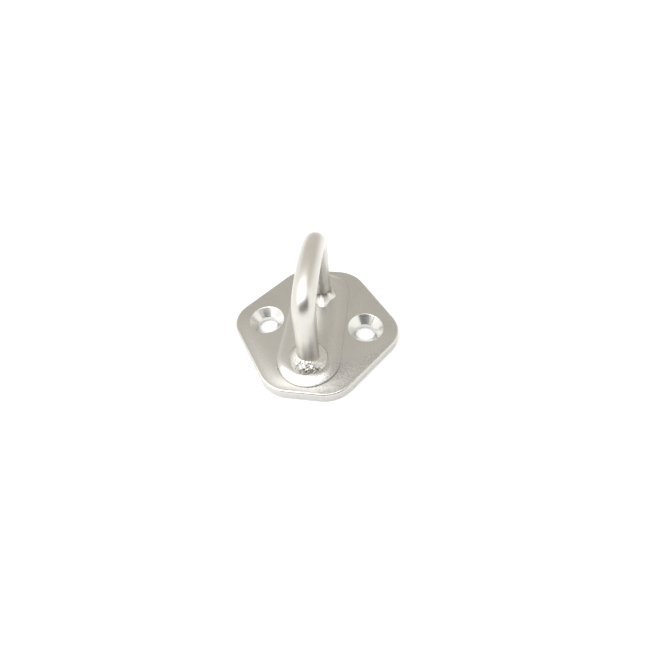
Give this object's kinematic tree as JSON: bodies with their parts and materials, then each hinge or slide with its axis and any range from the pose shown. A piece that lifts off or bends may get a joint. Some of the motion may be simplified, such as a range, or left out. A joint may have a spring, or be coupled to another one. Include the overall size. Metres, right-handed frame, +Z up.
{
  "type": "pad eye",
  "caption": "Welded stainless pad eye: a squared round-bar eye standing on a diamond base plate with countersunk screw holes and a raised boss.",
  "frame": {"origin": "centre of the base plate's underside, the face that sits on the deck", "axes": "+Z up through the eye, +X through the two screw holes, +Y along the eye from its front foot to its rear foot"},
  "size_m": [0.0492, 0.047, 0.0308],
  "materials": {
    "plate_steel": "satin brushed stainless steel",
    "bar_steel": "satin stainless steel bar, smoother than the plate",
    "weld_metal": "rough cleaned weld bead",
    "plug_weld_metal": "ground weld, dull"
  },
  "bodies": {
    "root": {"base_plate": "plate_steel", "eye_bar": "bar_steel", "front_weld_bead": "weld_metal", "rear_weld_bead": "weld_metal", "front_plug_weld": "plug_weld_metal", "rear_plug_weld": "plug_weld_metal"}
  },
  "joints": []
}
